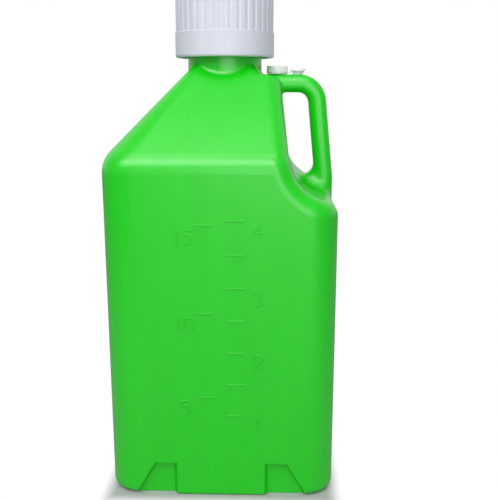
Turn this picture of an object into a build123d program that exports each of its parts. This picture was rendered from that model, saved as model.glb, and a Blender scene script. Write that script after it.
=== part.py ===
from build123d import *
from math import cos, pi, radians, sin, sqrt, tan
import os

# Square five-gallon utility jug, millimetres. Origin at the centre of the base,
# front face towards -Y, handle on the +X side, +Z up.

# Body of the shell
BODY_WIDTH = 241.3        # between opposite side faces
SHOULDER_Z = 358.0        # where a side face and the roof above it would meet
ROOF_ANGLE = 47.0         # slope of the four roof faces
CORNER_R = 32.0           # upright corners
HIP_R = 5.0               # hips, where they run out inside the neck
SHOULDER_R = 29.0         # between side faces and roof
BASE_R = 8.0              # round the bottom
WALL = 3.0                # blow-moulded wall
HIP_TOP_HALF = 16.2       # half side of the roof where it is closed off inside the neck
DECK_DROP = 1.55          # level deck, below where the roof meets the neck
DECK_EDGE_R = 9.0

# Recess for the hand on the +X side
RECESS_REACH = 47.65      # from the side face in to the corner of wall and shelf
RECESS_DROP = 29.5        # that corner, below SHOULDER_Z
RECESS_WALL_LEAN = 6.0    # degrees off upright
SHELF_SLOPE = 17.5        # degrees down towards the side
RECESS_ARC_R = 50.0       # between wall and shelf
RECESS_EDGE_R = 17.5      # round the recess

# Handle
GRIP_WIDTH = 30.0         # across, along Y
GRIP_THICK = 19.5         # in the plane of the loop
GRIP_CORNER_R = 8.5
GRIP_RISE = 1.2           # flat top of the upper bar, above the deck
GRIP_SET_IN = 0.3         # grip's outer face, in from the side face
GRIP_LEAN = 10.4          # from the upper bend out to the upright foot
GRIP_BEND_R = 21.0
GRIP_FOOT_DROP = 26.0     # where the centre line turns upright, below SHOULDER_Z
GRIP_FOOT_R = 60.0
GRIP_FOOT_LENGTH = 36.0   # upright end, inside the body
GRIP_WALL = 2.5
GRIP_HEAD_BLEND_R = 4.0   # where the upper bar runs into the deck and wall
GRIP_FOOT_BLEND_R = 12.0  # where the grip runs into the shelf and side

# Neck and its thread
NECK_R = 40.5
NECK_BLEND_R = 6.0
NECK_HEIGHT = 19.05       # from the roof up to the threaded part
FINISH_OUT = 6.0          # threaded part, wider than the neck
FINISH_STEP = 6.0         # height of the sloping step
FINISH_HEIGHT = 66.5      # from the underside of the step to the rim
RIM_R = 1.0
THREAD_PITCH = 9.0
THREAD_DEPTH = 2.0
THREAD_ROOT = 3.8         # width at the root
THREAD_CREST = 2.0        # width at the crest
NECK_TURNS = 1.5
NECK_THREAD_RISE = 33.0   # start of the neck thread, above the underside of the step
THREAD_SINK = 1.0         # root below the wall's face

# Main cap
CAP_WALL = 4.9            # at the plain band
CAP_BAND_STEP = 0.8       # fluted part above the band, inside its face
CAP_SKIRT = 2.0           # cap's foot, below the threaded part
CAP_BAND_HEIGHT = 26.5
CAP_BAND_EDGE_R = 0.5
CAP_HEIGHT = 76.0
CAP_TOP_THICK = 4.5
CAP_WALL_GAP = 0.6        # thread crest to the wall it runs in
CAP_CREST_GAP = 0.5       # cap thread to the neck's wall
CAP_TURNS = 1.25
CAP_FLUTES = 36
FLUTE_R = 4.2
FLUTE_DEPTH = 0.8
CAP_EDGE_R = 3.0
CAP_FOOT_R = 2.5
GASKET_GAP = 0.2

# Vent on the upper bar of the handle
VENT_OUT = 17.25          # axis of the vent, out from the neck
VENT_STUB_R = 8.4
VENT_BORE_R = 5.8
VENT_STUB_HEIGHT = 6.0
VENT_PITCH = 2.4
VENT_THREAD_DEPTH = 0.8
VENT_THREAD_ROOT = 1.0
VENT_THREAD_CREST = 0.5
VENT_TURNS = 1.0
VENT_THREAD_RISE = 2.7    # start of the thread, above the bar
VENT_THREAD_SINK = 0.5
VENT_CAP_THREAD_SINK = 0.4
VENT_CAP_R = 11.6
VENT_CAP_HEIGHT = 8.9     # top, above the bar
VENT_CAP_TOP_THICK = 1.6
VENT_CAP_LIFT = 0.4       # lip above the bar
VENT_CREST_GAP = 0.25
VENT_WALL_GAP = 0.3
VENT_LIP_R = 11.1
VENT_LIP_THICK = 1.1
VENT_GROOVE_R = 10.55
VENT_GROOVE_HEIGHT = 2.1
VENT_RIBS = 24
VENT_RIB_CUT = 0.45
VENT_EDGE_R = 1.2

# Leash from the vent cap to its button
LEASH_REACH = 22.75       # from the vent's axis to the button's
BUTTON_R = 8.4
BUTTON_HEIGHT = 6.7
BUTTON_CROWN = 0.9        # share of the head's thickness that is rounded off
BUTTON_POST_R = 3.2
BUTTON_BARB_R = 4.3
BUTTON_BARB_THICK = 2.0
BUTTON_COLLAR_R = 5.2
BUTTON_GAP = 0.05
BUTTON_SINK = 0.5         # barb below the inner side of the bar, which starts to bend here
LEASH_THICK = 1.6
LEASH_WIDTH = 6.0
LEASH_RING_R = 11.9
LEASH_EYE_R = 6.6
LEASH_GAP = 0.25

# Foot block and the pockets each side of it, front and back
FOOT_HALF = 47.0
FOOT_R = 3.0
POCKET_TOP_Z = 37.4
POCKET_TOP_HALF = 70.5
POCKET_BASE_HALF = 93.0
POCKET_DEPTH = 7.0
POCKET_DRAFT = 25.0

# Raised scale on the front face
GALLON = 3785.41e3        # one US gallon, mm3
FIVE_LITRES = 5.0e6
GALLONS_MARKED = 4
FIVES_MARKED = 3
FIRST_HALF_GALLON_Z = 92.6
FIRST_LITRE_Z = 112.9
GALLON_TICK = (6.6, 25.4)
LITRE_TICK = (-24.8, -5.4)
TICK_WIDTH = 1.6
MARK_RAISE = 0.5
MARK_ROOT = 1.5           # depth to which a mark is rooted in the wall
DIGIT_HEIGHT = 14.0
DIGIT_WIDTH = 8.5
STROKE = 1.8
GALLON_DIGIT_X = 39.3
LITRE_DIGIT_X = -36.6
DIGIT_PITCH = 10.5
FIRST_GALLON_DIGIT_Z = 83.5
FIRST_LITRE_DIGIT_Z = 101.5

HALF = BODY_WIDTH / 2
ROOF_RISE = tan(radians(ROOF_ANGLE))
HIP_TOP_Z = SHOULDER_Z + ROOF_RISE * (HALF - HIP_TOP_HALF)
NECK_FOOT_Z = SHOULDER_Z + ROOF_RISE * (HALF - NECK_R)
DECK_Z = NECK_FOOT_Z - DECK_DROP
RECESS_WALL_X = HALF - RECESS_REACH
RECESS_WALL_Z = SHOULDER_Z - RECESS_DROP
GRIP_TOP_Z = DECK_Z + GRIP_RISE
GRIP_FOOT = (HALF - GRIP_SET_IN - GRIP_THICK / 2, SHOULDER_Z - GRIP_FOOT_DROP)
GRIP_BEND_X = GRIP_FOOT[0] - GRIP_LEAN
GRIP_END_Z = GRIP_FOOT[1] - GRIP_FOOT_LENGTH
FINISH_R = NECK_R + FINISH_OUT
FINISH_FOOT_Z = NECK_FOOT_Z + NECK_HEIGHT
RIM_Z = FINISH_FOOT_Z + FINISH_HEIGHT
NECK_THREAD_Z = FINISH_FOOT_Z + NECK_THREAD_RISE
THREAD_CREST_R = FINISH_R + THREAD_DEPTH
CAP_FOOT_Z = FINISH_FOOT_Z - CAP_SKIRT
CAP_BAND_TOP_Z = CAP_FOOT_Z + CAP_BAND_HEIGHT
CAP_TOP_Z = CAP_FOOT_Z + CAP_HEIGHT
CAP_UNDER_Z = CAP_TOP_Z - CAP_TOP_THICK
CAP_BORE_R = THREAD_CREST_R + CAP_WALL_GAP
CAP_CREST_R = FINISH_R + CAP_CREST_GAP
CAP_R = CAP_BORE_R + CAP_WALL
CAP_GRIP_R = CAP_R - CAP_BAND_STEP
NECK_BORE_R = NECK_R - WALL
VENT_X = NECK_R + VENT_OUT
BUTTON_X = VENT_X + LEASH_REACH
VENT_STUB_TOP_Z = GRIP_TOP_Z + VENT_STUB_HEIGHT
VENT_CAP_TOP_Z = GRIP_TOP_Z + VENT_CAP_HEIGHT
VENT_THREAD_Z = GRIP_TOP_Z + VENT_THREAD_RISE
BUTTON_TOP_Z = GRIP_TOP_Z + BUTTON_HEIGHT
VENT_CREST_R = VENT_STUB_R + VENT_THREAD_DEPTH
VENT_LIP_Z = GRIP_TOP_Z + VENT_CAP_LIFT
VENT_GROOVE_Z = VENT_LIP_Z + VENT_LIP_THICK
VENT_UNDER_Z = VENT_CAP_TOP_Z - VENT_CAP_TOP_THICK
LEASH_Z = VENT_GROOVE_Z + LEASH_GAP
GRIP_BAR_Z = GRIP_TOP_Z - GRIP_THICK / 2
INSIDE_AREA = (BODY_WIDTH - 2 * WALL) ** 2 - (4 - pi) * (CORNER_R - WALL) ** 2
GALLON_PITCH = GALLON / INSIDE_AREA
LITRE_PITCH = FIVE_LITRES / INSIDE_AREA
MARKS_TOP_Z = SHOULDER_Z - SHOULDER_R


def flat_edges(solid, z):
    return [e for e in solid.edges()
            if abs(e.bounding_box().min.Z - z) < 1e-3 and abs(e.bounding_box().max.Z - z) < 1e-3]


def recess_face(inset):
    # Side view of the space taken out for the hand; inset moves its wall and shelf into the body.
    lean, slope = radians(RECESS_WALL_LEAN), radians(SHELF_SLOPE)
    wall_dir = Vector(-sin(lean), cos(lean))
    shelf_dir = Vector(cos(slope), -sin(slope))
    wall_out = Vector(-cos(lean), -sin(lean)) * inset
    shelf_out = Vector(-sin(slope), -cos(slope)) * inset
    corner = Vector(RECESS_WALL_X, RECESS_WALL_Z)
    wall_point, shelf_point = corner + wall_out, corner + shelf_out
    gap = shelf_point - wall_point
    turn = wall_dir.X * shelf_dir.Y - wall_dir.Y * shelf_dir.X
    along = (gap.X * shelf_dir.Y - gap.Y * shelf_dir.X) / turn
    corner = wall_point + wall_dir * along
    top, end = corner + wall_dir * 150, corner + shelf_dir * 120
    bend = FilletPolyline(top, corner, end, radius=RECESS_ARC_R + inset)
    far = Vector(end.X, top.Y)
    return Face(Wire([*bend.edges(), Edge.make_line(end, far), Edge.make_line(far, top)]))


def body_form(inset):
    # Square body with its pyramid roof and the recess, every face moved in by the inset.
    width = BODY_WIDTH - 2 * inset
    angle = radians(ROOF_ANGLE)
    shoulder = SHOULDER_Z - inset * (1 - sin(angle)) / cos(angle)
    top_width = width - 2 * (HIP_TOP_Z - shoulder) / ROOF_RISE
    corner = CORNER_R - inset
    walls = extrude(Pos(0, 0, inset) * RectangleRounded(width, width, corner), shoulder - inset)
    roof = loft([Pos(0, 0, shoulder) * RectangleRounded(width, width, corner),
                 Pos(0, 0, HIP_TOP_Z) * RectangleRounded(top_width, top_width, HIP_R)], ruled=True)
    form = walls + roof + deck_form(inset, shoulder)
    form = fillet(flat_edges(form, shoulder), SHOULDER_R - inset)
    form = fillet(flat_edges(form, inset), BASE_R - inset)
    recess = extrude(Plane.XZ * recess_face(inset), BODY_WIDTH, both=True)
    form = form - recess
    return fillet(recess_rim(form, recess), RECESS_EDGE_R - inset)


def deck_form(inset, shoulder):
    # Stretch of roof that runs on level towards the recess; its end is cut away with the recess.
    deck = DECK_Z - inset
    foot = BODY_WIDTH / 2 - inset
    top = foot - (deck - shoulder) / ROOF_RISE
    outline = Polyline((-foot, shoulder), (-top, deck), (top, deck), (foot, shoulder), close=True)
    return extrude(Plane.YZ * make_face(outline), RECESS_WALL_X + DECK_EDGE_R)


def recess_rim(form, recess):
    # Edges where the recess breaks out through the roof and the side faces.
    skins = recess.faces()

    def on_recess(shape, *places):
        return all(min(s.distance_to(shape.position_at(*p)) for s in skins) < 1e-3 for p in places)

    rim = []
    inner = [f for f in form.faces() if on_recess(f, (0.5, 0.5))]
    for edge in form.edges():
        if not on_recess(edge, (0.37,), (0.63,)):
            continue
        if sum(any(edge.is_same(e) for e in f.edges()) for f in inner) == 1:
            rim.append(edge)
    return rim


def grip_form(inset, start_x, end_z):
    # Round-cornered bar along the handle's centre line.
    path = FilletPolyline((start_x, GRIP_BAR_Z), (GRIP_BEND_X, GRIP_BAR_Z), GRIP_FOOT, (GRIP_FOOT[0], end_z),
                          radius=[GRIP_BEND_R, GRIP_FOOT_R])
    path = Plane.XZ * path
    section = Plane(path @ 0, x_dir=(0, 1, 0), z_dir=path % 0) * RectangleRounded(
        GRIP_WIDTH - 2 * inset, GRIP_THICK - 2 * inset, GRIP_CORNER_R - inset)
    return sweep(section, path=path)


def pocket_form(side, end, grow):
    # Drafted cutter beside the foot block; side is +1 or -1 in X, end is -1 at the front.
    below = POCKET_TOP_Z / 2
    inner, top_z = FOOT_HALF - grow, POCKET_TOP_Z + grow
    flare = (POCKET_BASE_HALF - POCKET_TOP_HALF) * (POCKET_TOP_Z + below) / POCKET_TOP_Z
    outline = Polyline((side * inner, -below), (side * inner, top_z),
                       (side * (POCKET_TOP_HALF + grow / 2), top_z),
                       (side * (POCKET_TOP_HALF + flare + grow), -below), close=True)
    face = make_face(outline)
    wall = Plane((0, end * HALF, 0), x_dir=(-end, 0, 0), z_dir=(0, end, 0))
    return extrude(wall * face, -(POCKET_DEPTH + grow), taper=POCKET_DRAFT)


def helix_ridge(radius, outward, pitch, turns, depth, root, crest, z, sink):
    # One thread ridge, its root sunk into the wall that carries it.
    path = Helix(pitch=pitch, height=pitch * turns, radius=radius)
    sign = 1 if outward else -1
    slope = (root - crest) / 2 / depth
    base = root / 2 + slope * sink
    face = make_face(Polyline((-sign * sink, -base), (sign * depth, -crest / 2),
                              (sign * depth, crest / 2), (-sign * sink, base), close=True))
    plane = Plane(path @ 0, x_dir=(1, 0, 0), z_dir=path % 0)
    return Pos(0, 0, z) * sweep(plane * face, path=path, is_frenet=True)


def ring(outer, inner, z0, z1, x=0.0):
    return Pos(x, 0, z0) * extrude(Circle(outer) - Circle(inner), z1 - z0)


def disc(radius, z0, z1, x=0.0):
    return Pos(x, 0, z0) * extrude(Circle(radius), z1 - z0)


def digit_lines(figure):
    # Strokes of one figure in a cell centred on zero.
    w, h = DIGIT_WIDTH / 2, DIGIT_HEIGHT / 2
    if figure == "0":
        return [Line((w, h - w), (w, w - h)), ThreePointArc((w, w - h), (0, -h), (-w, w - h)),
                Line((-w, w - h), (-w, h - w)), ThreePointArc((-w, h - w), (0, h), (w, h - w))]
    if figure == "1":
        return [Line((0, -h), (0, h))]
    if figure == "2":
        arc = ThreePointArc((-w, h - w), (0, h), (w, h - w))
        return [arc, Line((w, h - w), (-w, -h)), Line((-w, -h), (w, -h))]
    if figure == "3":
        return [ThreePointArc((-w, h - w), (w * 0.7, h * 0.8), (0, 0)),
                ThreePointArc((0, 0), (w * 0.9, -h * 0.75), (-w, w - h))]
    if figure == "4":
        foot, top, left, right = (w / 3, -h), (w / 3, h), (-w, -h / 3), (w, -h / 3)
        return [Line(foot, top), Line(top, left), Line(left, right)]
    return [Line((w, h), (-w * 0.8, h)), Line((-w * 0.8, h), (-w * 0.8, h * 0.15)),
            ThreePointArc((-w * 0.8, h * 0.15), (w, -h * 0.3), (-w, -h * 0.8))]


def scale_marks():
    # Ticks and figures, rooted in the wall and standing proud of the front face.
    flat = []
    ticks = [(GALLON_TICK, FIRST_HALF_GALLON_Z + n * GALLON_PITCH / 2) for n in range(2 * GALLONS_MARKED - 1)]
    ticks += [(LITRE_TICK, FIRST_LITRE_Z + n * LITRE_PITCH) for n in range(FIVES_MARKED)]
    for (start, end), z in ticks:
        if z < MARKS_TOP_Z:
            flat.append(Pos((start + end) / 2, z) * Rectangle(end - start, TICK_WIDTH))
    labels = [(str(n + 1), GALLON_DIGIT_X, FIRST_GALLON_DIGIT_Z + n * GALLON_PITCH)
              for n in range(GALLONS_MARKED)]
    labels += [(str(5 * n + 5), LITRE_DIGIT_X, FIRST_LITRE_DIGIT_Z + n * LITRE_PITCH)
               for n in range(FIVES_MARKED)]
    for text, x, z in labels:
        if z > MARKS_TOP_Z:
            continue
        for k, figure in enumerate(text):
            place = Pos(x + (k - (len(text) - 1) / 2) * DIGIT_PITCH, z)
            strokes = Sketch() + [trace(line, STROKE) for line in digit_lines(figure)]
            flat.append(place * strokes)
    root = Plane((0, MARK_ROOT - HALF, 0), x_dir=(1, 0, 0), z_dir=(0, -1, 0))
    return [extrude(root * shape, MARK_ROOT + MARK_RAISE) for shape in flat]


def neck_form(inset, z0, z1):
    # Round neck that steps out to the threaded finish.
    step = FINISH_FOOT_Z + FINISH_STEP
    outline = Polyline((0, z0), (NECK_R - inset, z0), (NECK_R - inset, FINISH_FOOT_Z),
                       (FINISH_R - inset, step), (FINISH_R - inset, z1), (0, z1), close=True)
    return revolve(Plane.XZ * make_face(outline), Axis.Z)


def foot_block():
    block = Pos(0, 0, POCKET_TOP_Z / 2) * Box(2 * FOOT_HALF, BODY_WIDTH, POCKET_TOP_Z)
    return fillet(block.edges().group_by(Axis.Z)[0].filter_by(Axis.X), FOOT_R)


def neck_root(form):
    # Edges where the neck rises out of the roof.
    near = [e for e in form.edges() if SHOULDER_Z < e.bounding_box().max.Z < FINISH_FOOT_Z - 1e-3]
    return [e for e in near if abs(sqrt((e @ 0.5).X ** 2 + (e @ 0.5).Y ** 2) - NECK_R) < 1e-3]


def shared_edges(joined, one, other):
    # Edges of the joined form that lie on both of the forms it was made from.
    found = []
    for edge in joined.edges():
        places = [edge @ 0.31, edge @ 0.72]
        if all(min(f.distance_to(p) for f in one.faces()) < 1e-3 for p in places):
            if all(other.distance_to(p) < 1e-3 for p in places):
                found.append(edge)
    return found


def pockets(grow):
    return [pocket_form(side, end, grow) for side in (-1, 1) for end in (-1, 1)]


def jug_outside():
    form = body_form(0) + neck_form(0, SHOULDER_Z, RIM_Z)
    form = fillet(neck_root(form), NECK_BLEND_R)
    form = form + foot_block()
    for pocket in pockets(0):
        form = form - pocket
    grip = grip_form(0, NECK_R - WALL / 2, GRIP_END_Z)
    joined = form + grip
    head = [e for e in shared_edges(joined, grip, form) if (e @ 0.5).Z > SHOULDER_Z]
    joined = fillet(head, GRIP_HEAD_BLEND_R)
    foot = [e for e in shared_edges(joined, grip, form) if (e @ 0.5).Z < SHOULDER_Z]
    return fillet(foot, GRIP_FOOT_BLEND_R)


def jug_inside():
    # The space inside, one wall in from the outside all round.
    space = body_form(WALL)
    for pocket in pockets(WALL):
        space = space - pocket
    space = space + grip_form(GRIP_WALL, NECK_BORE_R - WALL, GRIP_END_Z - 2 * WALL)
    return space + neck_form(WALL, SHOULDER_Z, RIM_Z + 1)


def jug_shell():
    shell = jug_outside() - jug_inside()
    shell = fillet(flat_edges(shell, RIM_Z), RIM_R)
    bar_inside = GRIP_TOP_Z - GRIP_WALL
    shell += disc(VENT_STUB_R, bar_inside - 1, VENT_STUB_TOP_Z, VENT_X)
    shell -= disc(VENT_BORE_R, bar_inside - 3, VENT_STUB_TOP_Z + 1, VENT_X)
    shell -= disc(BUTTON_POST_R + BUTTON_GAP, bar_inside - 1, GRIP_TOP_Z + 1, BUTTON_X)
    shell += helix_ridge(FINISH_R, True, THREAD_PITCH, NECK_TURNS, THREAD_DEPTH,
                         THREAD_ROOT, THREAD_CREST, NECK_THREAD_Z, THREAD_SINK)
    shell += Pos(VENT_X, 0, 0) * helix_ridge(VENT_STUB_R, True, VENT_PITCH, VENT_TURNS, VENT_THREAD_DEPTH,
                                             VENT_THREAD_ROOT, VENT_THREAD_CREST, VENT_THREAD_Z,
                                             VENT_THREAD_SINK)
    return shell + scale_marks()


def main_cap():
    cap = disc(CAP_R, CAP_FOOT_Z, CAP_BAND_TOP_Z) + disc(CAP_GRIP_R, CAP_BAND_TOP_Z, CAP_TOP_Z)
    cap = fillet(flat_edges(cap, CAP_TOP_Z), CAP_EDGE_R)
    cap = fillet(flat_edges(cap, CAP_FOOT_Z), CAP_FOOT_R)
    band_edge = [e for e in flat_edges(cap, CAP_BAND_TOP_Z) if e.radius > CAP_GRIP_R + 1e-3]
    cap = fillet(band_edge, CAP_BAND_EDGE_R)
    flute = disc(FLUTE_R, CAP_BAND_TOP_Z, CAP_TOP_Z + 1)
    for place in PolarLocations(CAP_GRIP_R - FLUTE_DEPTH + FLUTE_R, CAP_FLUTES):
        cap -= place * flute
    cap -= disc(CAP_BORE_R, CAP_FOOT_Z - 1, CAP_UNDER_Z)
    return cap + helix_ridge(CAP_BORE_R, False, THREAD_PITCH, CAP_TURNS, CAP_BORE_R - CAP_CREST_R,
                             THREAD_ROOT, THREAD_CREST, NECK_THREAD_Z - THREAD_PITCH / 2, THREAD_SINK)


def cap_gasket():
    return ring(CAP_BORE_R - GASKET_GAP, NECK_BORE_R, RIM_Z, CAP_UNDER_Z)


def vent_cap():
    groove_top = VENT_GROOVE_Z + VENT_GROOVE_HEIGHT
    cap = disc(VENT_LIP_R, VENT_LIP_Z, VENT_GROOVE_Z, VENT_X)
    cap += disc(VENT_GROOVE_R, VENT_LIP_Z, VENT_CAP_TOP_Z, VENT_X)
    head = disc(VENT_CAP_R, groove_top, VENT_CAP_TOP_Z, VENT_X)
    cap += fillet(flat_edges(head, VENT_CAP_TOP_Z), VENT_EDGE_R)
    rib_cut = disc(VENT_RIB_CUT, groove_top - 1, VENT_CAP_TOP_Z - VENT_EDGE_R)
    for place in PolarLocations(VENT_CAP_R, VENT_RIBS):
        cap -= Pos(VENT_X, 0, 0) * place * rib_cut
    bore = VENT_CREST_R + VENT_WALL_GAP
    cap -= disc(bore, VENT_LIP_Z - 1, VENT_UNDER_Z, VENT_X)
    depth = bore - VENT_STUB_R - VENT_CREST_GAP
    return cap + Pos(VENT_X, 0, 0) * helix_ridge(bore, False, VENT_PITCH, VENT_TURNS, depth,
                                                 VENT_THREAD_ROOT, VENT_THREAD_CREST,
                                                 VENT_THREAD_Z - VENT_PITCH / 2, VENT_CAP_THREAD_SINK)


def vent_gasket():
    return ring(VENT_STUB_R, VENT_BORE_R, VENT_STUB_TOP_Z, VENT_UNDER_Z, VENT_X)


def vent_leash():
    # Ring round the vent cap, short strap and the eye held by the button.
    strap = Pos((VENT_X + BUTTON_X) / 2, 0) * Rectangle(BUTTON_X - VENT_X, LEASH_WIDTH)
    plan = Pos(VENT_X, 0) * Circle(LEASH_RING_R) + strap + Pos(BUTTON_X, 0) * Circle(LEASH_EYE_R)
    plan -= Pos(VENT_X, 0) * Circle(VENT_GROOVE_R + LEASH_GAP)
    plan -= Pos(BUTTON_X, 0) * Circle(BUTTON_POST_R + LEASH_GAP)
    return Pos(0, 0, LEASH_Z) * extrude(plan, LEASH_THICK)


def leash_button():
    head_z = LEASH_Z + LEASH_THICK + LEASH_GAP
    head = disc(BUTTON_R, head_z, BUTTON_TOP_Z, BUTTON_X)
    button = fillet(flat_edges(head, BUTTON_TOP_Z), BUTTON_CROWN * (BUTTON_TOP_Z - head_z))
    button += disc(BUTTON_COLLAR_R, GRIP_TOP_Z, LEASH_Z - LEASH_GAP, BUTTON_X)
    barb_top = GRIP_TOP_Z - GRIP_WALL - BUTTON_SINK
    button += disc(BUTTON_POST_R, barb_top - BUTTON_BARB_THICK, head_z + 1, BUTTON_X)
    barb = disc(BUTTON_BARB_R, barb_top - BUTTON_BARB_THICK, barb_top, BUTTON_X)
    return button + chamfer(flat_edges(barb, barb_top - BUTTON_BARB_THICK), BUTTON_BARB_R - BUTTON_POST_R)


os.makedirs("parts", exist_ok=True)
for make in (jug_shell, main_cap, cap_gasket, vent_cap, vent_gasket, vent_leash, leash_button):
    export_step(make(), f"parts/{make.__name__}.step")
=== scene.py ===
import bpy
from math import radians
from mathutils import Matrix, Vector


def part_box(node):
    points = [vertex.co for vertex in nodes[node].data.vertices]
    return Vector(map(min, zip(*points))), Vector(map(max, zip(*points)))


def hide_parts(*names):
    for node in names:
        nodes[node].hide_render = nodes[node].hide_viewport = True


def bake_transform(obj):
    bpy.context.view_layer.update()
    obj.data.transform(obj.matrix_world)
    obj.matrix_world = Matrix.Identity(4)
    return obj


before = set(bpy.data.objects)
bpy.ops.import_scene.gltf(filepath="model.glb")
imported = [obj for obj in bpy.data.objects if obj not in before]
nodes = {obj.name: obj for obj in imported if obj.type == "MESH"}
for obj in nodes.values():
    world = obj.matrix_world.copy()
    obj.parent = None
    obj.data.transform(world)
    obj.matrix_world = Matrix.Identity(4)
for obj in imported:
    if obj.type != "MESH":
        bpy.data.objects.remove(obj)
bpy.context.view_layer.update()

scene = bpy.context.scene
print("frame loaded:", ", ".join(sorted(nodes)))

cameraView = {
    "place": (0.0529, -0.8239, 0.4310),
    "turn": (77.24, 0.0, 1.76),        # degrees
    "lens": 52.135,
    "sensor": 36.0,
    "clipStart": 0.01,
}


def addCamera(view):
    data = bpy.data.cameras.new("jugCamera")
    data.sensor_width = view["sensor"]
    data.lens = view["lens"]
    data.clip_start = view["clipStart"]
    camera = bpy.data.objects.new("jugCamera", data)
    camera.location = view["place"]
    camera.rotation_euler = [radians(angle) for angle in view["turn"]]
    scene.collection.objects.link(camera)
    scene.camera = camera


addCamera(cameraView)
print("camera placed")


# short ways to place nodes; an input takes either a value or another node's socket

def feed(tree, target, value):
    if isinstance(value, bpy.types.NodeSocket):
        tree.links.new(value, target)
    elif target.type == "RGBA":
        target.default_value = (*value, 1.0)
    else:
        target.default_value = value


def addNode(tree, kind, inputs=None, **fields):
    node = tree.nodes.new(kind)
    for field, value in fields.items():
        setattr(node, field, value)
    for socket, value in (inputs or {}).items():
        feed(tree, node.inputs[socket], value)
    return node


def maths(tree, operation, *values, clamp=False):
    return addNode(tree, "ShaderNodeMath", dict(enumerate(values)),
                   operation=operation, use_clamp=clamp).outputs[0]


def vectorMaths(tree, operation, *values):
    return addNode(tree, "ShaderNodeVectorMath", dict(enumerate(values)),
                   operation=operation).outputs[0]


def mapRange(tree, value, low, high, fromLow=0.0, fromHigh=1.0, curve="LINEAR"):
    return addNode(tree, "ShaderNodeMapRange", {
        "Value": value, "From Min": fromLow, "From Max": fromHigh, "To Min": low, "To Max": high},
        interpolation_type=curve).outputs[0]


def spread(tree, value, low, high):
    return mapRange(tree, value, low, high, fromLow=0.3, fromHigh=0.7)   # noise keeps to its middle


def mixColour(tree, factor, first, second):
    return addNode(tree, "ShaderNodeMix", {0: factor, 6: first, 7: second},
                   data_type="RGBA").outputs[2]


def bump(tree, height, distance, normal=None):
    inputs = {"Height": height, "Distance": distance}
    if normal is not None:
        inputs["Normal"] = normal
    return addNode(tree, "ShaderNodeBump", inputs).outputs[0]


def noise(tree, place, scale, detail, roughness):
    return addNode(tree, "ShaderNodeTexNoise", {
        "Vector": place, "Scale": scale, "Detail": detail, "Roughness": roughness}).outputs["Fac"]


# effects shared by the finishes

grainShape = {"detail": 3.0, "roughness": 0.65}
waveShape = {
    "swellStretch": (1.0, 1.0, 0.6),
    "swellDetail": 1.5,
    "swellRoughness": 0.4,
    "streakStretch": (4.0, 4.0, 0.35),
    "streakDetail": 3.0,
    "streakRoughness": 0.55,
}
scuffShape = {
    "stretches": ((1.0, 1.0, 14.0), (12.0, 12.0, 1.0)),     # lines along and across
    "detail": 4.0,
    "roughness": 0.6,
    "sharpness": 9.0,
}


def startGroup(name, inputs, outputs):
    group = bpy.data.node_groups.new(name, "ShaderNodeTree")
    group.interface.new_socket("Coordinates", in_out="INPUT", socket_type="NodeSocketVector")
    for label in inputs:
        group.interface.new_socket(label, in_out="INPUT", socket_type="NodeSocketFloat")
    for label in outputs:
        group.interface.new_socket(label, in_out="OUTPUT", socket_type="NodeSocketFloat")
    entry = group.nodes.new("NodeGroupInput").outputs
    leave = group.nodes.new("NodeGroupOutput").inputs
    return group, entry, leave


def makeGrain(shape):
    # fine texture of a blasted mould
    group, entry, leave = startGroup("mouldGrain", ["Scale"], ["Height"])
    fine = noise(group, entry["Coordinates"], entry["Scale"], shape["detail"], shape["roughness"])
    pits = addNode(group, "ShaderNodeTexVoronoi", {
        "Vector": entry["Coordinates"], "Scale": entry["Scale"]}, feature="SMOOTH_F1")
    feed(group, leave["Height"], maths(group, "ADD", fine, pits.outputs["Distance"]))
    return group


def makeWaves(shape):
    # slow swells and drawn streaks that a wall keeps when it cools in the mould
    group, entry, leave = startGroup("wallWaves", ["Scale"], ["Height", "Streaks"])
    for kind, socket in (("swell", "Height"), ("streak", "Streaks")):
        place = vectorMaths(group, "MULTIPLY", entry["Coordinates"], shape[kind + "Stretch"])
        feed(group, leave[socket], noise(group, place, entry["Scale"], shape[kind + "Detail"],
                                         shape[kind + "Roughness"]))
    return group


def makeScuffs(shape):
    # sparse hairline marks of handling
    group, entry, leave = startGroup("handlingScuffs", ["Scale", "Threshold"], ["Mask"])
    masks = []
    for stretch in shape["stretches"]:
        place = vectorMaths(group, "MULTIPLY", entry["Coordinates"], stretch)
        lines = noise(group, place, entry["Scale"], shape["detail"], shape["roughness"])
        over = maths(group, "SUBTRACT", lines, entry["Threshold"])
        masks.append(maths(group, "MULTIPLY", over, shape["sharpness"], clamp=True))
    feed(group, leave["Mask"], maths(group, "MAXIMUM", *masks))
    return group


mouldGrain = makeGrain(grainShape)
wallWaves = makeWaves(waveShape)
handlingScuffs = makeScuffs(scuffShape)


def useGroup(tree, group, place, **values):
    node = addNode(tree, "ShaderNodeGroup", node_tree=group)
    feed(tree, node.inputs["Coordinates"], place)
    for label, value in values.items():
        feed(tree, node.inputs[label.capitalize()], value)
    return node.outputs


# finishes; colours are linear, depths and widths in metres

jugFinish = {
    "colour": (0.004, 0.565, 0.003),
    "thinColour": (0.005, 0.590, 0.004),     # where the wall is drawn thinner
    "scuffColour": (0.070, 0.670, 0.065),
    "roughness": (0.28, 0.31),
    "specular": 0.75,
    "waveDepth": 0.0009,
    "grainDepth": 0.00003,
    "seamHeight": 0.00025,
    "seamWidth": 0.0007,
    "edgeRound": 0.0006,
}
capFinish = {
    "colour": (0.605, 0.622, 0.715),
    "thinColour": (0.640, 0.652, 0.735),
    "scuffColour": (0.790, 0.800, 0.830),
    "roughness": (0.38, 0.48),
    "specular": 0.4,
    "grainDepth": 0.00003,
    "edgeRound": 0.0004,
}
ventFinish = {
    "colour": (0.790, 0.790, 0.820),
    "thinColour": (0.840, 0.840, 0.860),
    "scuffColour": (0.820, 0.810, 0.830),
    "roughness": (0.30, 0.40),
    "specular": 0.4,
    "grainDepth": 0.00002,
    "edgeRound": 0.00025,
}
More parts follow.
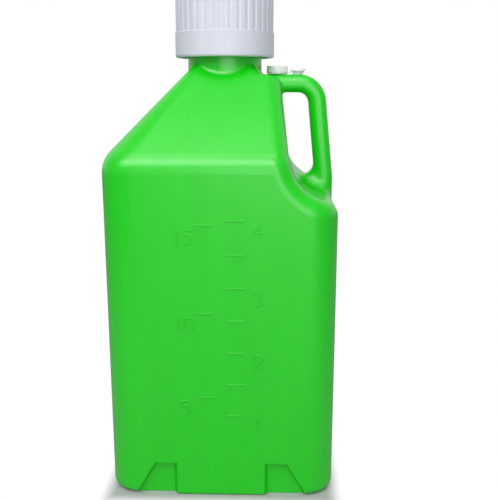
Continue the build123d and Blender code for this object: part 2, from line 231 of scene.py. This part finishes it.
plasticSurface = {             # the same on all three plastics
    "waveScale": 14.0,
    "grainScale": 1100.0,
    "scuffScale": 55.0,
    "scuffThreshold": 0.67,
    "scuffShare": 0.25,        # how much of the scuffs' own colour shows
    "scuffDulling": 0.12,      # roughness that they add
    "bevelSamples": 4,
}
rubberFinish = {
    "colour": (0.050, 0.050, 0.055),
    "dustColour": (0.160, 0.155, 0.150),
    "dustShare": 0.35,
    "roughness": (0.62, 0.78),
    "specular": 0.3,
    "waveScale": 60.0,
    "grainScale": 1500.0,
    "grainDepth": 0.00005,
}


def startMaterial(name, specular):
    material = bpy.data.materials.new(name)
    material.use_nodes = True
    tree = material.node_tree
    shader = tree.nodes["Principled BSDF"].inputs
    shader["Specular IOR Level"].default_value = specular
    return material, tree, shader, tree.nodes.new("ShaderNodeTexCoord").outputs["Object"]


def seamLine(tree, place, width):
    # where the halves of the mould meet, in the plane of the handle
    across = addNode(tree, "ShaderNodeSeparateXYZ", {0: place}).outputs["Y"]
    away = maths(tree, "ABSOLUTE", across)
    return mapRange(tree, away, 0.0, 1.0, fromLow=width, fromHigh=0.0, curve="SMOOTHSTEP")


def plasticMaterial(name, finish, surface):
    material, tree, shader, place = startMaterial(name, finish["specular"])
    flow = useGroup(tree, wallWaves, place, scale=surface["waveScale"])
    grain = useGroup(tree, mouldGrain, place, scale=surface["grainScale"])
    scuffs = useGroup(tree, handlingScuffs, place, scale=surface["scuffScale"],
                      threshold=surface["scuffThreshold"])
    colour = mixColour(tree, spread(tree, flow["Streaks"], 0.0, 1.0),
                       finish["colour"], finish["thinColour"])
    worn = maths(tree, "MULTIPLY", scuffs["Mask"], surface["scuffShare"])
    feed(tree, shader["Base Color"], mixColour(tree, worn, colour, finish["scuffColour"]))
    rough = spread(tree, flow["Streaks"], *finish["roughness"])
    feed(tree, shader["Roughness"],
         maths(tree, "MULTIPLY_ADD", scuffs["Mask"], surface["scuffDulling"], rough))
    normal = addNode(tree, "ShaderNodeBevel", {"Radius": finish["edgeRound"]},
                     samples=surface["bevelSamples"]).outputs["Normal"]
    if "waveDepth" in finish:
        normal = bump(tree, flow["Height"], finish["waveDepth"], normal)
    if "seamHeight" in finish:
        seam = seamLine(tree, place, finish["seamWidth"])
        normal = bump(tree, seam, finish["seamHeight"], normal)
    feed(tree, shader["Normal"], bump(tree, grain["Height"], finish["grainDepth"], normal))
    return material


def rubberMaterial(name, finish):
    material, tree, shader, place = startMaterial(name, finish["specular"])
    flow = useGroup(tree, wallWaves, place, scale=finish["waveScale"])
    grain = useGroup(tree, mouldGrain, place, scale=finish["grainScale"])
    dust = spread(tree, flow["Height"], 0.0, finish["dustShare"])
    feed(tree, shader["Base Color"], mixColour(tree, dust, finish["colour"], finish["dustColour"]))
    feed(tree, shader["Roughness"], spread(tree, flow["Streaks"], *finish["roughness"]))
    feed(tree, shader["Normal"], bump(tree, grain["Height"], finish["grainDepth"]))
    return material


jugPlastic = plasticMaterial("jugPlastic", jugFinish, plasticSurface)
capPlastic = plasticMaterial("capPlastic", capFinish, plasticSurface)
ventPlastic = plasticMaterial("ventPlastic", ventFinish, plasticSurface)
sealRubber = rubberMaterial("sealRubber", rubberFinish)
finishOf = {
    "jug_shell": jugPlastic,
    "main_cap": capPlastic,
    "cap_gasket": sealRubber,
    "vent_cap": ventPlastic,
    "vent_gasket": sealRubber,
    "leash_button": ventPlastic,
}
for nodeName, material in finishOf.items():
    nodes[nodeName].data.materials.clear()
    nodes[nodeName].data.materials.append(material)
print("finishes made")


# leash from the vent cap to its button

leashShape = {
    "ringWall": 0.0011,      # ring round the vent cap
    "eyeRadius": 0.0066,
    "eyeBore": 0.00345,
    "strapWidth": 0.0060,
    "sides": 96,
    "cuts": 12,              # cross lines along the strap
    "mergeWithin": 1e-6,
    "edgeRound": 0.0003,
    "edgeSteps": 3,
    "edgeAngle": 50,         # degrees; sharper edges are rounded
    "smoothAngle": 35,
    "bendFrom": 0.0755,      # X at the eye, X at the ring
    "bendTo": 0.0697,
}


def selectFlatEnds(piece):
    for face in piece.data.polygons:
        face.select = abs(face.normal.z) > 0.9


def washer(name, centre, radius, bore, thick, sides):
    bpy.ops.object.select_all(action="DESELECT")
    bpy.ops.mesh.primitive_cylinder_add(vertices=sides, radius=radius, depth=thick, location=centre)
    piece = bpy.context.object
    piece.name = name
    bpy.ops.object.transform_apply(location=True, rotation=True, scale=True)
    bpy.ops.object.mode_set(mode="EDIT")
    bpy.ops.mesh.select_mode(type="FACE")
    bpy.ops.mesh.select_all(action="DESELECT")
    bpy.ops.object.mode_set(mode="OBJECT")
    selectFlatEnds(piece)
    bpy.ops.object.mode_set(mode="EDIT")
    bpy.ops.mesh.inset(thickness=radius - bore)
    bpy.ops.mesh.bridge_edge_loops()
    bpy.ops.object.mode_set(mode="OBJECT")
    return piece


def strapBlock(name, start, stop, width, thick, height):
    bpy.ops.object.select_all(action="DESELECT")
    bpy.ops.mesh.primitive_cube_add(size=1, location=((start + stop) / 2, 0, height),
                                    scale=(stop - start, width, thick))
    piece = bpy.context.object
    piece.name = name
    bpy.ops.object.transform_apply(location=True, rotation=True, scale=True)
    return piece


def applyModifier(piece, kind, **fields):
    bpy.ops.object.select_all(action="DESELECT")
    piece.select_set(True)
    bpy.context.view_layer.objects.active = piece
    modifier = piece.modifiers.new(kind.lower(), kind)
    for field, value in fields.items():
        setattr(modifier, field, value)
    bpy.ops.object.modifier_apply(modifier=modifier.name)


def cutAcross(places, mergeWithin):
    # the piece is active; all of it is cut at each X
    bpy.ops.object.mode_set(mode="EDIT")
    for x in places:
        bpy.ops.mesh.select_all(action="SELECT")
        bpy.ops.mesh.bisect(plane_co=(x, 0, 0), plane_no=(1, 0, 0))
    bpy.ops.mesh.select_all(action="SELECT")
    bpy.ops.mesh.remove_doubles(threshold=mergeWithin)
    bpy.ops.mesh.normals_make_consistent(inside=False)
    bpy.ops.object.mode_set(mode="OBJECT")


def middleX(node):
    low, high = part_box(node)
    return (low.x + high.x) / 2


def makeLeash(shape):
    low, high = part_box("vent_leash")
    thick = high.z - low.z
    height = (low.z + high.z) / 2
    ventX = middleX("vent_cap")
    buttonX = middleX("leash_button")
    ringRadius = ventX - low.x
    ringEdge = ventX + ringRadius
    ring = washer("ventLeash", (ventX, 0, height), ringRadius, ringRadius - shape["ringWall"],
                  thick, shape["sides"])
    eye = washer("leashEye", (buttonX, 0, height), shape["eyeRadius"], shape["eyeBore"],
                 thick, shape["sides"])
    strapEnd = buttonX - (shape["eyeRadius"] + shape["eyeBore"]) / 2
    strap = strapBlock("leashStrap", ringEdge - shape["ringWall"] / 2, strapEnd,
                       shape["strapWidth"], thick, height)
    for other in (eye, strap):
        applyModifier(ring, "BOOLEAN", operation="UNION", solver="EXACT", object=other)
        bpy.data.objects.remove(other)
    step = (strapEnd - ringEdge) / shape["cuts"]
    cutAcross([ringEdge + step * (n + 0.5) for n in range(shape["cuts"])], shape["mergeWithin"])
    applyModifier(ring, "BEVEL", width=shape["edgeRound"], segments=shape["edgeSteps"],
                  limit_method="ANGLE", angle_limit=radians(shape["edgeAngle"]))
    bpy.ops.object.shade_smooth_by_angle(angle=radians(shape["smoothAngle"]))
    ring.data.materials.clear()
    ring.data.materials.append(ventPlastic)
    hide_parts("vent_leash")
    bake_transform(ring)
    return ring


ventLeash = makeLeash(leashShape)
print("leash made:", len(ventLeash.data.polygons), "faces")


# floor, background and lights

floorLook = {
    "size": 16.0,
    "drop": 0.0002,            # below the jug's base
    "colour": (0.46, 0.46, 0.47),
    "roughness": 0.8,
    "specular": 0.1,
    "shadowNear": 0.1205,      # distance from the middle at which it starts to fade to white
    "shadowFar": 0.142,
    "shadowSquash": 1.07,      # it fades sooner at the sides
}
worldLook = {
    "ambient": 0.36,
    "backdropFrom": 0.0,       # share of the world's Y direction at which the backdrop starts
    "backdropTo": 0.6,
    "backdropGloss": 0.75,     # how white it is in reflections
}
lights = {                     # size is width and height; glints: it shows in reflections
    "keyLight": {"place": (-0.28, -1.02, 1.25), "size": (1.5, 0.55), "power": 12.0, "glints": True},
    "topLight": {"place": (0.0, -0.50, 1.56), "size": (1.3, 0.45), "power": 4.4, "glints": True},
    "frontLight": {"place": (0.35, -1.65, 0.55), "size": (1.2, 0.9), "power": 7.2, "glints": True},
    "backLight": {"place": (0.0, 1.80, 0.40), "size": (1.6, 0.9), "power": 20.0, "glints": False},
}
lightsAim = (0.0, 0.0, 0.30)


def seenDirectly(tree, rays):
    return maths(tree, "MAXIMUM", rays["Is Camera Ray"], rays["Is Transmission Ray"])


def makeFloor(look):
    bpy.ops.object.select_all(action="DESELECT")
    bpy.ops.mesh.primitive_plane_add(size=look["size"], location=(0, 0, -look["drop"]))
    floor = bpy.context.object
    floor.name = "floor"
    material, tree, shader, place = startMaterial("paleFloor", look["specular"])
    feed(tree, shader["Base Color"], look["colour"])
    feed(tree, shader["Roughness"], look["roughness"])
    glow = addNode(tree, "ShaderNodeEmission", {"Color": (1, 1, 1), "Strength": 1.0})
    away = vectorMaths(tree, "ABSOLUTE", place)
    away = vectorMaths(tree, "MULTIPLY", away, (look["shadowSquash"], 1, 1))
    sides = addNode(tree, "ShaderNodeSeparateXYZ", {0: away}).outputs
    reach = maths(tree, "MAXIMUM", sides["X"], sides["Y"])       # square, as the jug's base is
    fade = mapRange(tree, reach, 0.0, 1.0, fromLow=look["shadowNear"], fromHigh=look["shadowFar"],
                    curve="SMOOTHSTEP")
    rays = tree.nodes.new("ShaderNodeLightPath").outputs
    share = maths(tree, "MULTIPLY", fade, seenDirectly(tree, rays))
    mix = addNode(tree, "ShaderNodeMixShader", {
        0: share, 1: tree.nodes["Principled BSDF"].outputs[0], 2: glow.outputs[0]})
    tree.links.new(mix.outputs[0], tree.nodes["Material Output"].inputs["Surface"])
    floor.data.materials.append(material)


def makeWorld(look):
    # white where it is seen; in reflections pale only on the side of the backdrop, behind the jug
    world = bpy.data.worlds.new("studioWorld")
    scene.world = world
    world.use_nodes = True
    tree = world.node_tree
    rays = tree.nodes.new("ShaderNodeLightPath").outputs
    direction = tree.nodes.new("ShaderNodeTexCoord").outputs["Generated"]
    toward = addNode(tree, "ShaderNodeSeparateXYZ", {0: direction}).outputs["Y"]
    backdrop = mapRange(tree, toward, 0.0, look["backdropGloss"], fromLow=look["backdropFrom"],
                        fromHigh=look["backdropTo"], curve="SMOOTHSTEP")
    mirrored = maths(tree, "MULTIPLY", rays["Is Glossy Ray"], backdrop)
    white = maths(tree, "MAXIMUM", seenDirectly(tree, rays), mirrored)
    background = tree.nodes["Background"].inputs
    feed(tree, background["Color"], (1, 1, 1))
    feed(tree, background["Strength"], mapRange(tree, white, look["ambient"], 1.0))


def addLight(name, light, target):
    data = bpy.data.lights.new(name, "AREA")
    data.shape = "RECTANGLE"
    data.size, data.size_y = light["size"]
    data.energy = light["power"]
    lamp = bpy.data.objects.new(name, data)
    lamp.location = light["place"]
    lamp.rotation_euler = (Vector(target) - lamp.location).to_track_quat("-Z", "Y").to_euler()
    lamp.visible_glossy = light["glints"]
    scene.collection.objects.link(lamp)


makeFloor(floorLook)
makeWorld(worldLook)
for lightName, light in lights.items():
    addLight(lightName, light, lightsAim)
scene.view_settings.view_transform = "Standard"
print("studio set")
